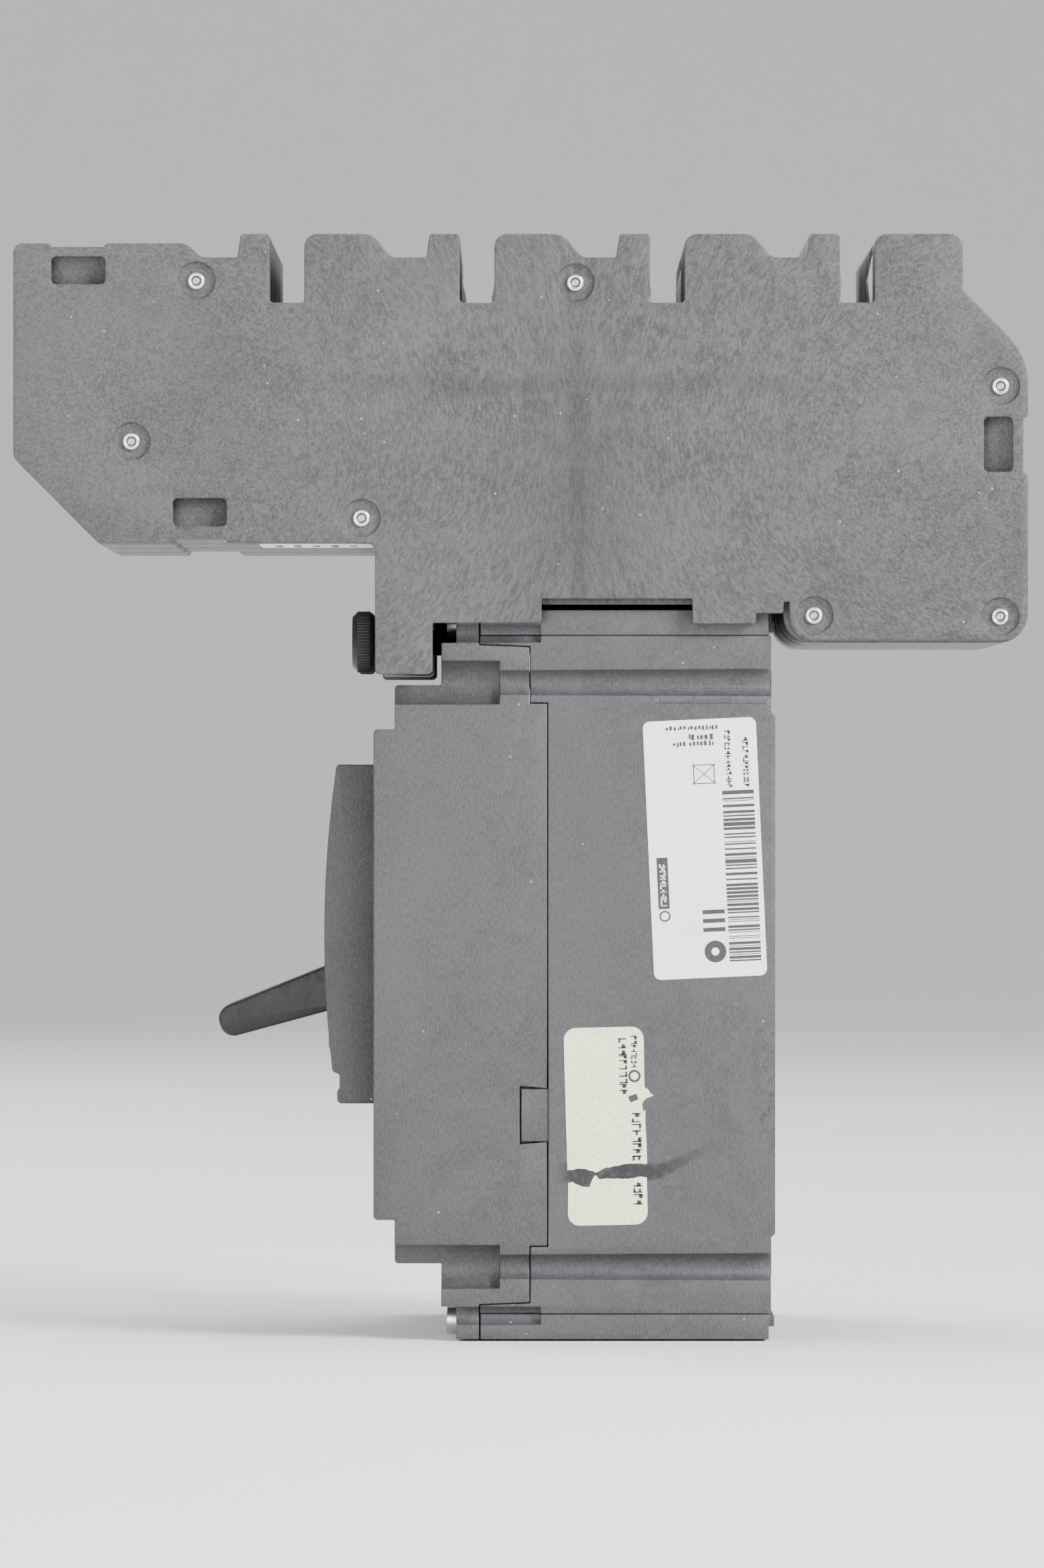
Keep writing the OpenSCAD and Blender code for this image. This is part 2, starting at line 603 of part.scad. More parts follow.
module handle_yoke() color(steel) turned(-off_angle, handle_axis) {
    lane(yoke_lane) difference() {
        union() {
            polygon([on_ring(handle_axis, 5, 90), on_ring(handle_axis, 5, -90),
                     on_ring(handle_axis, 30.6, -10), on_ring(handle_axis, 30.6, 10)]);
            translate(handle_axis) circle(5);
        }
        translate(handle_axis) circle(pivot_r + running);
    }
    across(-yoke_lane.y, yoke_lane.y)
        polygon(ring_band(handle_axis, 29.2, 30.6, -9, 9, 8));
    bar_x(-yoke_lane.x - 0.5, yoke_lane.x + 0.5, on_ring(handle_axis, anchor_r, 0), 1.5);
}
module handle_pins() color(steel) both_sides() bar_x(12, 15.5, handle_axis, pivot_r);
module side_plates() color(steel) lane(plate_lane) difference() {
    polygon(rounded([[-72, -14, 2], [-44, -27, 2], [-44, 24, 2], [-58, 34, 3], [-72, 34, 3]]));
    translate(handle_axis) circle(pivot_r + running);
    translate(cradle_axis) circle(cradle_pin_r + running);
}
module cradle() color(steel) lane(cradle_lane) difference() {
    polygon(rounded([[-69, 30, 3], [-61, 30, 3], [-61, 4, 4], [-50.5, -12.5, 3], [-50.5, -19.5, 3],
                     [-57, -19.5, 2], [-69, -8, 3]]));
    translate(cradle_axis) circle(cradle_pin_r + running);
    translate(anchor) circle(anchor_pin_r + running);
}
module cradle_pin() color(steel) bar_x(-15.5, 15.5, cradle_axis, cradle_pin_r);
module anchor_pins() color(steel) both_sides() bar_x(upper_lane.x, cradle_lane.y, anchor, anchor_pin_r);

// The toggle: places of its pins with the breaker off and on
crank_r = 15;
function crank_at(angle) = on_ring(rotor_axis, crank_r, angle);
half_swing = contact_swing / 2;
link_l = 13.7;
function toggle_at(crank) =
    let (middle = (anchor + crank) / 2, span = crank - anchor, gap = norm(span),
         rise = sqrt(link_l * link_l - gap * gap / 4))
    middle + rise * [-span.y, span.x] / gap;
crank_off = crank_at(-half_swing);
toggle_off = toggle_at(crank_off);
link_r = 2.9;
link_pin_r = 1.5;
module upper_links() color(steel) lane(upper_lane)
    link(anchor, toggle_off, link_r, link_r + toggle_play, link_pin_r + running,
         link_pin_r + toggle_play);
module lower_links() color(steel) lane(lower_lane)
    link(crank_off, toggle_off, link_r, link_r, link_pin_r + running, link_pin_r + 0.02);
module toggle_pin() color(steel) bar_x(-upper_lane.y - 0.1, upper_lane.y + 0.1, toggle_off, link_pin_r);
module crank_pin() color(steel) bar_x(-lower_lane.y - 0.3, lower_lane.y + 0.3, crank_off, link_pin_r);

spring_turns = 9;
module main_springs() color(silver) {
    from = on_ring(handle_axis, anchor_r, off_angle);
    span = toggle_off - from;
    length = norm(span) - 5;
    both_sides() translate([3.4, from.x, from.y]) rotate([-90 + atan2(span.y, span.x), 0, 0])
        translate([0, 0, 2.2]) rotate_extrude($fn = 32) polygon(concat(
            [for (i = [0:spring_turns * 2]) [i % 2 == 0 ? 2.8 : 2.3, length * i / (spring_turns * 2)]],
            [[1.6, length], [1.6, 0]]));
}

// ---- Contacts ----
drum_r = 12;
journal_r = 10;
bearing_r = journal_r + 0.08;
core_r = 8;
bridge_t = 5;           // thickness of a contact bridge
bridge_half = 3;
bridge_reach = 24;
pad_at = 22;            // from the rotor's axis to the middle of a contact pad
module contact_rotor() color([0.25, 0.22, 0.2]) difference() {
    union() {
        bar_x(-50, 50, rotor_axis, core_r);
        both_sides() {
            bar_x(pole_pitch - 11, pole_pitch + 11, rotor_axis, drum_r);
            bar_x(pole_pitch / 2 - 1.6, pole_pitch / 2 + 1.6, rotor_axis, journal_r);
        }
        bar_x(-6.2, 6.2, rotor_axis, drum_r);
        both_sides() across(3.8, 6.2) hull() {
            translate(rotor_axis) circle(6);
            translate(crank_off) circle(3);
        }
    }
    for (x = poles) at_pole(x) turned(contact_swing, rotor_axis)
        box([-bridge_half - 0.1, rotor_axis.x - bridge_t / 2 - 0.1, rotor_axis.y - 20],
            [bridge_half + 0.1, rotor_axis.x + bridge_t / 2 + 0.1, rotor_axis.y + 20]);
    both_sides() bar_x(3, 7, crank_off, link_pin_r + 0.02);
}
module contact_bridges() color(copper) for (x = poles) at_pole(x) turned(contact_swing, rotor_axis) {
    box([-bridge_half, rotor_axis.x - bridge_t / 2, rotor_axis.y - bridge_reach],
        [bridge_half, rotor_axis.x + bridge_t / 2, rotor_axis.y + bridge_reach]);
    for (s = [-1, 1]) translate([0, rotor_axis.x + s * bridge_t / 2, rotor_axis.y + s * pad_at])
        rotate([-90 * s, 0, 0]) cylinder(h = 1, r = 2.2);
}
fixed_y = rotor_axis.x + bridge_t / 2 + 1 + clear;      // face of the line contact's pad
load_y = rotor_axis.x - bridge_t / 2 - 1 - clear;       // face of the load contact's pad
module line_contacts() color(copper) for (x = poles) at_pole(x) difference() {
    union() {
        box([-6, strap_y + strap_t + 0.05, 62], [6, -55, 77.4]);
        box([-6, strap_y + strap_t + 0.05, 62], [6, fixed_y + 4.2, 65]);
        box([-6, fixed_y + 1.2, 18], [6, fixed_y + 4.2, 65]);
        box([-3, fixed_y, 24], [3, fixed_y + 1.3, 30]);
    }
    bar_y(-70, -50, 0, screw_z, 2 + running);
}
module load_contacts() color(copper) for (x = poles) at_pole(x) {
    box([-6, load_y - 4.2, -60.6], [6, load_y - 1.2, -11]);
    box([-3, load_y - 1.3, -20], [3, load_y, -14]);
}
plate_count = 8;
module arc_stack(y0, pitch, z0, z1) {
    for (x = poles, i = [0:plate_count - 1]) at_pole(x) difference() {
        box([-10, y0 + i * pitch, z0], [10, y0 + i * pitch + 1.1, z1]);
        translate([0, y0 + i * pitch - 1, z0 - 4]) rotate([0, 45, 0]) cube([10, 4, 10], center = true);
    }
}
module line_arc_plates() color(steel) arc_stack(-46, 2.7, 31, 56);
module load_arc_plates() color(steel) mirror([0, 0, 1]) arc_stack(-28.4, 2.7, 21, 50);
module arc_chute_cheeks() color(insulator_cream) for (x = poles) at_pole(x) both_sides() {
    box([10.1, -46.4, 30.5], [11.3, -25, 57]);
    box([10.1, -28.8, -51], [11.3, -7, -20.5]);
}

// ---- Trip unit ----
bar_at = [-52, -33];
bar_r = 3;
button_at = [22, -14];
button_r = 2.5;
dial_at = [30, -40];
dial_r = 5;
module trip_case() color([0.3, 0.3, 0.32]) difference() {
    union() {
        box([-half_w + wall + 0.6, -78.6, -56], [half_w - wall - 0.6, -48.9, -29.4]);
        // The button spring's seat
        box([button_at.x - 4, -67.9, -31], [button_at.x + 4, -66.4, button_at.y + 4]);
    }
    for (x = poles) box([x - pole_half, -77, -54.5], [x + pole_half, -40, -31]);
    bar_x(-49.4, 49.4, bar_at, bar_r + running);
    box([-45, -66, -39], [45, -40, -29]);
    bar_y(-90, -70, dial_at.x, dial_at.y, 3.6 + running);
    bar_y(-70, -60, button_at.x, button_at.y, 1.2 + running);
    both_sides() bar_y(-90, -40, fixing_x, -cover_screw_z, 3.4);
}
module trip_bar() color(insulator_cream) {
    bar_x(-49, 49, bar_at, bar_r);
    for (x = poles) box([x - 3, -49.8, -40], [x + 3, -48.4, bar_at.y]);
    box([button_at.x - 2, -55.5, bar_at.y], [button_at.x + 2, -53.8, -11.5]);
}
module trip_button() color([0.75, 0.12, 0.1]) {
    bar_y(nose_face(button_at.y, 0) - 0.2, -88, button_at.x, button_at.y, button_r);
    bar_y(-90, -87, button_at.x, button_at.y, button_r);
    bar_y(-91.4, -89.8, button_at.x, button_at.y, button_r + 1);
    bar_y(-88, -57, button_at.x, button_at.y, 1.2);
}
module trip_button_spring() color(silver) translate([button_at.x, -86.8, button_at.y])
    rotate([-90, 0, 0]) rotate_extrude($fn = 32) polygon(concat(
        [for (i = [0:12]) [i % 2 == 0 ? 2.6 : 2.1, i * 1.3]], [[1.6, 15.6], [1.6, 0]]));
module setting_dial() color([0.15, 0.15, 0.16]) difference() {
    union() {
        bar_y(-85.6, -80, dial_at.x, dial_at.y, dial_r);
        bar_y(-81, -66, dial_at.x, dial_at.y, 3.6);
    }
    box([dial_at.x - 4, -87, dial_at.y - 0.6], [dial_at.x + 4, -84.2, dial_at.y + 0.6]);
}
heater_y = load_y - 4.2;    // front face of the load conductor
module bimetals() color(steel) for (x = poles) at_pole(x) {
    box([-3.5, heater_y - 2.2, -60], [3.5, heater_y - 0.05, -55]);
    box([-3, heater_y - 3.2, -60], [3, heater_y - 2.1, -38]);
}
magnet_z = [-50, -36];
module magnet_yokes() color([0.45, 0.45, 0.46]) for (x = poles) at_pole(x) {
    both_sides() box([6.3, -41.5, magnet_z.x], [7.8, -29.9, magnet_z.y]);
    box([-7.8, -31.4, magnet_z.x], [7.8, -29.9, magnet_z.y]);
}
armature_axis = [-43.3, -53];
module armature() color([0.45, 0.45, 0.46]) difference() {
    union() {
        box([-8, -44, -53], [8, -42.8, -36.5]);
        bar_x(-8, 8, armature_axis, 1.6);
    }
    bar_x(-9, 9, armature_axis, 0.8);
}
module armature_right() at_pole(poles[0]) armature();
module armature_centre() at_pole(poles[1]) armature();
module armature_left() at_pole(poles[2]) armature();

housing_side_plate();
housing_right_shell();
housing_centre_shell();
housing_left_shell();
housing_rivets();
securing_screw_right();
securing_screw_left();
line_straps();
jaw_cages();
jaw_pins();
jaw_springs();
jaw_finger_right_front();
jaw_finger_right_back();
jaw_finger_centre_front();
jaw_finger_centre_back();
jaw_finger_left_front();
jaw_finger_left_back();
base();
cover();
nose();
line_end_cap();
load_end_cap();
cover_screws();
terminal_screws();
load_lugs();
lug_screws();
large_label();
small_label();
handle();
handle_yoke();
handle_pins();
side_plates();
cradle();
cradle_pin();
anchor_pins();
upper_links();
lower_links();
toggle_pin();
crank_pin();
main_springs();
contact_rotor();
contact_bridges();
line_contacts();
load_contacts();
line_arc_plates();
load_arc_plates();
arc_chute_cheeks();
trip_case();
trip_bar();
trip_button();
trip_button_spring();
setting_dial();
bimetals();
magnet_yokes();
armature_right();
armature_centre();
armature_left();
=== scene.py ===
"""Looks of the plug-on circuit breaker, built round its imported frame."""

import json
import math
import random

import bmesh
import bpy
from mathutils import Matrix, Vector

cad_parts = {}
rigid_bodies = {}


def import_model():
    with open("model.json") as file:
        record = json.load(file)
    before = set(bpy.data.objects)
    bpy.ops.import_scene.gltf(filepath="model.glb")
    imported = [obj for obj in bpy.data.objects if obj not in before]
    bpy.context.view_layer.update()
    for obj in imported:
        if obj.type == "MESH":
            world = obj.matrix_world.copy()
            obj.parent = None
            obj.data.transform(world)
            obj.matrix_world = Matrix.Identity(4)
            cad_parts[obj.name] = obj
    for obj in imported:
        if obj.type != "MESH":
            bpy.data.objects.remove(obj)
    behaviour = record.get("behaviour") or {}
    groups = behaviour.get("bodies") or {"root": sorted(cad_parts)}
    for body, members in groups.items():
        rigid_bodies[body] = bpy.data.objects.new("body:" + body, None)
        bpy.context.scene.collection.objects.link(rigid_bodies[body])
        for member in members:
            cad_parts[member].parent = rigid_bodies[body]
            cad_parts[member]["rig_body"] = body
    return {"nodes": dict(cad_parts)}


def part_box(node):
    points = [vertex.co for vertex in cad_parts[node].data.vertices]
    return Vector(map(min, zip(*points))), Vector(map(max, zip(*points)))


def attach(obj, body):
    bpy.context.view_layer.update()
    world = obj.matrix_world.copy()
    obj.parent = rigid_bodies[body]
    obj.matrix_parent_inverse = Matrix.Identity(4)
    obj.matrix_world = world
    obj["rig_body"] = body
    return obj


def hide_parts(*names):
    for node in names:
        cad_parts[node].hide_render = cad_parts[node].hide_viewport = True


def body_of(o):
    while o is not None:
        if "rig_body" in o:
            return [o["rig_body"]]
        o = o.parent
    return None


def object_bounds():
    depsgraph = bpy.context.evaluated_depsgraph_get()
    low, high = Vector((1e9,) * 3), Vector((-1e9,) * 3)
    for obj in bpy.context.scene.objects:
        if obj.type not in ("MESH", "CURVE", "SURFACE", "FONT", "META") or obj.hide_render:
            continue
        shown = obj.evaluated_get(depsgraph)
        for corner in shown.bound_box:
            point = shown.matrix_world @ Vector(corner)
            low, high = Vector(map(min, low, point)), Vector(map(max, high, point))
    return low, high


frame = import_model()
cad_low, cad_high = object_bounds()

MM = 0.001
SIDES = ("front", "back")
POLES = {"right": 35, "centre": 0, "left": -35}


def metres(*values):
    """Millimetres as a vector in metres."""
    return Vector(values) * MM


# ---------------------------------------------------------------- shader maths


class Wire:
    """One output of a finish's node, with sums and products written as on numbers."""

    def __init__(self, finish, socket):
        self.finish = finish
        self.socket = socket

    def math(self, operation, *values):
        return self.finish.node("ShaderNodeMath", {"operation": operation}, values)

    def __add__(self, other):
        return self.math("ADD", self, other)

    def __sub__(self, other):
        return self.math("SUBTRACT", self, other)

    def __rsub__(self, other):
        return self.math("SUBTRACT", other, self)

    def __mul__(self, other):
        return self.math("MULTIPLY", self, other)

    def __truediv__(self, other):
        return self.math("DIVIDE", self, other)

    __radd__ = __add__
    __rmul__ = __mul__

    def size(self):
        return self.math("ABSOLUTE", self)

    def sine(self):
        return self.math("SINE", self)

    def root(self):
        return self.math("SQRT", self)

    def fraction(self):
        return self.math("FRACT", self)

    def above(self, other):
        """The larger of the two."""
        return self.math("MAXIMUM", self, other)


# A colour Mix node's sockets by number, because its float and colour ones share their names
MIX_AMOUNT, MIX_FIRST, MIX_SECOND, MIX_RESULT = 0, 6, 7, 2


class Finish:
    """A material, drawn in its piece's own metres."""

    def __init__(self, name, roughness=0.5, metallic=0.0, specular=0.5):
        self.material = bpy.data.materials.new(name)
        self.material.use_nodes = True
        self.tree = self.material.node_tree
        self.shader = self.tree.nodes["Principled BSDF"]
        self.shader.inputs["Roughness"].default_value = roughness
        self.shader.inputs["Metallic"].default_value = metallic
        self.shader.inputs["Specular IOR Level"].default_value = specular
        self.place = self.node("ShaderNodeTexCoord", output="Object")
        self.x = self.axis("X")
        self.y = self.axis("Y")
        self.z = self.axis("Z")

    def node(self, kind, settings=None, inputs=(), output=0):
        """Adds a node, sets its settings and then its inputs by place or name, and gives an output."""
        made = self.tree.nodes.new(kind)
        for name, value in (settings or {}).items():
            setattr(made, name, value)
        named = inputs.items() if isinstance(inputs, dict) else enumerate(inputs)
        for key, value in named:
            if isinstance(value, Wire):
                self.tree.links.new(value.socket, made.inputs[key])
            else:
                made.inputs[key].default_value = value
        return Wire(self, made.outputs[output])

    def axis(self, letter):
        return self.node("ShaderNodeSeparateXYZ", inputs=[self.place], output=letter)

    def vector(self, x, y, z):
        return self.node("ShaderNodeCombineXYZ", inputs=[x, y, z])

    def noise(self, size, detail=3.0, rough=0.5, bend=0.0, place=None):
        """Soft noise from 0 to 1 whose lumps are about size across, in metres."""
        return self.node(
            "ShaderNodeTexNoise",
            {"noise_dimensions": "3D"},
            {"Vector": place or self.place, "Scale": 1 / size, "Detail": detail,
             "Roughness": rough, "Distortion": bend},
        )

    def cells(self, size, place=None):
        """Distance from the nearest of points scattered about size apart."""
        return self.node(
            "ShaderNodeTexVoronoi",
            {"feature": "F1"},
            {"Vector": place or self.place, "Scale": 1 / size},
        )

    def ease(self, value, low, high, start=0.0, end=1.0):
        """start below low, end above high, and smooth between."""
        return self.node(
            "ShaderNodeMapRange",
            {"interpolation_type": "SMOOTHSTEP"},
            {"Value": value, "From Min": low, "From Max": high, "To Min": start, "To Max": end},
        )

    def near(self, value, inner, outer):
        """1 where value is within inner of 0, fading to 0 at outer."""
        return self.ease(value.size(), inner, outer, 1, 0)

    def mix(self, amount, first, second):
        """The first colour, with the second laid over it by amount."""
        paint = [c if isinstance(c, Wire) else (*c, 1) for c in (first, second)]
        return self.node(
            "ShaderNodeMix",
            {"data_type": "RGBA"},
            {MIX_AMOUNT: amount, MIX_FIRST: paint[0], MIX_SECOND: paint[1]},
            output=MIX_RESULT,
        )

    def stretched(self, scale):
        """Places for a pattern whose lumps measure scale along X, Y and Z."""
        return self.node(
            "ShaderNodeMapping",
            {"vector_type": "TEXTURE"},
            {"Vector": self.place, "Scale": scale},
        )

    def bump(self, height, depth, over=None):
        """Raises the surface by depth, in metres, where height is 1."""
        inputs = {"Height": height, "Distance": depth, "Strength": 1.0}
        if over:
            inputs["Normal"] = over
        return self.node("ShaderNodeBump", inputs=inputs)

    def feed(self, **sockets):
        """Links wires to the shader and gives the material."""
        names = {"colour": "Base Color", "roughness": "Roughness", "normal": "Normal"}
        for key, wire in sockets.items():
            self.tree.links.new(wire.socket, self.shader.inputs[names[key]])
        return self.material


def tint(colour, amount):
    """A colour made lighter or darker by amount."""
    return tuple(min(1, c * amount) for c in colour)


# ---------------------------------------------------------------- plastics


# Where the housing's two melt fronts met, and its gates on either side
WELD_Y, WELD_Z = -0.0423, 0.1263
GATE_OFF_WELD, GATE_Z = 0.099, 0.120
FIBRE_T, FIBRE_TURN, FIBRE_DEPTH = 0.00055, 0.024, 0.0006
BAND_T, BAND_TURN, BAND_DEPTH = 0.0026, 0.08, 0.003


def fibre_flow(f):
    """Streaks of glass fibre that run round the two gates, either side of the weld line."""
    out = (f.y - WELD_Y).size() - GATE_OFF_WELD
    up = f.z - GATE_Z
    wander = (f.noise(0.03, detail=2) - 0.5) * 0.006
    reach = (out * out + up * up).root() + wander
    turn = out.math("ARCTAN2", out, up)
    along = f.vector(reach / FIBRE_T, turn / FIBRE_TURN, f.x / FIBRE_DEPTH)
    streaks = f.noise(1, detail=3, rough=0.62, place=along)
    even = f.noise(FIBRE_DEPTH, detail=3, rough=0.62)
    fine = even + (streaks - even) * f.ease(reach, 0.012, 0.035)
    across = f.vector(reach / BAND_T, turn / BAND_TURN, f.x / BAND_DEPTH)
    return fine, f.noise(1, detail=3, rough=0.6, place=across)


CLOUD_SIZE = 0.034
SPARK_GRAIN = (0.0005, 0.0004, 0.0011)
DUST_PITCH = 0.0042
DUST_COLOUR = (0.5, 0.5, 0.48)


def moulded(name, colour, grain=0.00036, contrast=0.5, gloss=0.5, marks=None, streaked=False):
    """Spark-textured glass-filled moulding: grain, fibre streaks, clouds, any given marks and dust."""
    f = Finish(name, specular=0.38)
    clouds = f.noise(CLOUD_SIZE, detail=4, rough=0.6, bend=1.2)
    fleck = f.noise(grain, detail=2, rough=0.65)
    if streaked:
        fine, broad = fibre_flow(f)
    else:
        fine = f.noise(1, detail=3, rough=0.65, place=f.stretched(SPARK_GRAIN))
        broad = f.noise(0.006, detail=4, rough=0.6, bend=2)
    shade = fine * 0.42 + fleck * 0.33 + broad * 0.15 + clouds * 0.1
    tone = f.ease(shade, 0.5 - 0.3 * contrast, 0.5 + 0.3 * contrast)
    paint = f.mix(tone, tint(colour, 0.58), tint(colour, 1.46))
    paint = f.mix(f.ease(clouds, 0.4, 0.66) * 0.16, paint, tint(colour, 1.3))
    paint = f.mix(f.ease(broad, 0.52, 0.72) * 0.12, paint, tint(colour, 0.62))
    if marks:
        paint = marks(f, paint)
    dust = f.ease(f.cells(DUST_PITCH), 0.035, 0.075, 1, 0) * f.ease(f.noise(0.012), 0.5, 0.62)
    paint = f.mix(dust * 0.6, paint, DUST_COLOUR)
    finish = f.ease(broad, 0.3, 0.7, gloss - 0.06, gloss + 0.1) + dust * 0.2
    waviness = f.bump(f.noise(0.018, detail=2), 0.0001)
    grit = f.noise(grain * 1.3, detail=2, rough=0.55)
    return f.feed(colour=paint, roughness=finish, normal=f.bump(grit, 0.00006, over=waviness))


def weld_lines(f, paint):
    """The dull cross where the melt met, with a soft halo."""
    upright_z, halo_z = 0.112, 0.105
    dull, dullest = (0.032, 0.032, 0.033), (0.02, 0.02, 0.021)
    y = f.y - WELD_Y + (f.noise(0.02, detail=2) - 0.5) * 0.004
    z = f.z - WELD_Z + (f.noise(0.025, detail=2) - 0.5) * 0.003
    level = f.near(z, 0.0004, 0.003) * f.near(f.y - WELD_Y, 0.03, 0.075)
    upright = f.near(y, 0.0004, 0.0032) * f.near(f.z - upright_z, 0.016, 0.045)
    halo = f.near(y, 0.003, 0.022) * f.near(f.z - halo_z, 0.01, 0.05)
    paint = f.mix(halo * 0.3, paint, dull)
    return f.mix(level.above(upright) * 0.28, paint, dullest)


# The smear across the base's right side: its level, where it starts to rise, its two ends and a blot
BASE_SIDE_X = (0.0520, 0.0523)
SMEAR_Z, SMEAR_RISE_Y = -0.0422, -0.0252
SMEAR_FRONT_Y, SMEAR_BACK_Y = (-0.0475, -0.0435), (-0.028, -0.009)
SMEAR_HALF = (0.0019, 0.0006)
BLOT_Y, BLOT_Z = -0.0414, -0.0441
SCUFF_Y, SCUFF_Z = (-0.0065, -0.0025), -0.023
SOOT, SCUFFED, RUBBED = (0.010, 0.011, 0.013), (0.016, 0.017, 0.019), (0.11, 0.113, 0.12)


def side_stains(f, paint):
    """On the base's right side: the black smear across the small label, and scuffs up the back edge."""
    side = f.ease(f.x, *BASE_SIDE_X)
    rough = (f.noise(0.0025, detail=5, rough=0.7) - 0.5) * 0.0016
    rise = (f.y - SMEAR_RISE_Y).above(0)
    middle = f.z - SMEAR_Z - rise * 0.4 - rise * rise * 9 + rough
    half = f.ease(f.y, -0.040, -0.009, *SMEAR_HALF)
    band = f.ease(middle.size() - half, -0.0002, 0.0007, 1, 0)
    blot = (f.y - BLOT_Y).size() * 0.8 + (f.z - BLOT_Z).size() + rough * 2
    band = band.above(f.ease(blot, 0.0012, 0.0028, 1, 0))
    fade = f.ease(f.y, *SMEAR_BACK_Y, 1, 0) * f.ease(f.y, *SMEAR_FRONT_Y)
    patchy = f.ease(f.noise(0.0012, detail=4), 0.3, 0.55, 0.55, 1)
    paint = f.mix(band * fade * patchy * side * 0.85, paint, SOOT)
    edge = f.ease(f.y, *SCUFF_Y) * f.near(f.z - SCUFF_Z, 0.006, 0.02)
    scuff = f.ease(f.noise(0.0016, detail=5, rough=0.75), 0.52, 0.6) * edge * side
    paint = f.mix(scuff * 0.55, paint, SCUFFED)
    rub = f.ease(f.noise(0.013, detail=5, rough=0.6, bend=2), 0.56, 0.7)
    return f.mix(rub * 0.2, paint, RUBBED)


housing_plastic = moulded("housing_plastic", (0.064, 0.064, 0.0655), contrast=0.36, marks=weld_lines,
                          streaked=True)
base_plastic = moulded("base_plastic", (0.060, 0.0615, 0.066), grain=0.0003, contrast=0.56, gloss=0.46,
                       marks=side_stains)
cover_plastic = moulded("cover_plastic", (0.060, 0.060, 0.061), grain=0.0003, contrast=0.48, gloss=0.47)
handle_plastic = moulded("handle_plastic", (0.018, 0.016, 0.0145), grain=0.0004, contrast=0.5, gloss=0.5)
black_plastic = moulded("black_plastic", (0.009, 0.0087, 0.0084), grain=0.0003, contrast=0.7, gloss=0.38)
inner_plastic = moulded("inner_plastic", (0.42, 0.37, 0.27), grain=0.0003, contrast=0.8, gloss=0.5)
rotor_plastic = moulded("rotor_plastic", (0.05, 0.035, 0.028), grain=0.0003, contrast=0.8, gloss=0.45)
red_plastic = moulded("red_plastic", (0.42, 0.03, 0.02), grain=0.0003, contrast=0.9, gloss=0.3)


# ---------------------------------------------------------------- metals


DRAWN_ALONG_X = (0.006, 0.0004, 0.0004)
TUMBLED = (0.0005, 0.0005, 0.0005)


def worked(name, colour, roughness, patina, drawn=DRAWN_ALONG_X, tarnish=0.35):
    """Plated or drawn metal with fine drawing lines, cloudy tarnish and handling spots."""
    f = Finish(name, metallic=1.0)
    lines = f.noise(1, detail=3, rough=0.6, place=f.stretched(drawn))
    clouds = f.noise(0.008, detail=4, rough=0.6, bend=1)
    spots = f.ease(f.noise(0.0016, detail=3), 0.6, 0.72)
    stain = f.ease(clouds, 0.42, 0.72) * tarnish + spots * 0.15
    paint = f.mix(stain, colour, patina)
    paint = f.mix(lines * 0.2, paint, tint(colour, 0.6))
    finish = f.ease(clouds, 0.3, 0.8, roughness - 0.06, roughness + 0.14) + lines * 0.06
    return f.feed(colour=paint, roughness=finish, normal=f.bump(lines, 0.00002))


tin_plate = worked("tin_plate", (0.80, 0.80, 0.78), 0.32, (0.52, 0.51, 0.47))
rivet_metal = worked("rivet_metal", (0.94, 0.93, 0.90), 0.26, (0.66, 0.64, 0.58), tarnish=0.2,
                     drawn=TUMBLED)
rivet_core = worked("rivet_core", (0.50, 0.50, 0.48), 0.42, (0.30, 0.29, 0.27), drawn=TUMBLED)
zinc_steel = worked("zinc_steel", (0.60, 0.61, 0.63), 0.34, (0.36, 0.36, 0.35))
magnet_iron = worked("magnet_iron", (0.30, 0.30, 0.31), 0.42, (0.20, 0.17, 0.14))
copper = worked("copper", (0.86, 0.48, 0.32), 0.30, (0.42, 0.22, 0.13))
bimetal_strip = worked("bimetal_strip", (0.62, 0.55, 0.44), 0.32, (0.40, 0.34, 0.26))


# ---------------------------------------------------------------- label films


def film(name, colour, grime, lines=None):
    """Printed film: faint fibre, handling grime in patches and, on the small label, fine line-work."""
    f = Finish(name, specular=0.45)
    fibre = f.noise(0.0009, detail=4, rough=0.7)
    clouds = f.noise(0.011, detail=4)
    paint = f.mix(fibre * 0.25, colour, tint(colour, 0.88))
    if lines:
        paint = lines(f, paint)
    dirt = f.ease(clouds, 0.52, 0.78) * f.ease(f.noise(0.0007, detail=4, rough=0.8), 0.35, 0.65)
    paint = f.mix(dirt * 0.32, paint, grime)
    finish = f.ease(clouds, 0.3, 0.7, 0.36, 0.5)
    return f.feed(colour=paint, roughness=finish, normal=f.bump(f.noise(0.0025, detail=2), 0.00003))


ROSETTE_WIDE, ROSETTE_HIGH = 0.0068, 0.00816
# Each printing of the rosettes: how far it is shifted, its colour and its number of rings
PRINTINGS = ((0.0, (0.22, 0.62, 0.34), 12), (0.25, (0.24, 0.46, 0.80), 16), (0.5, (0.80, 0.40, 0.42), 14))


def line_work(f, paint):
    """Rows of fine rosettes in pale green, blue and rose."""
    for shift, colour, rings in PRINTINGS:
        along = (f.y / ROSETTE_WIDE + shift).fraction() - 0.5
        up = (f.z / ROSETTE_HIGH + shift * 2).fraction() - 0.5
        reach = (along * along + up * up).root()
        petals = (up.math("ARCTAN2", up, along) * 8).sine() * 0.09
        wave = ((reach + petals * reach) * (rings * 2)).sine()
        paint = f.mix(f.ease(wave, 0.75, 1.0) * 0.3, paint, colour)
    return paint


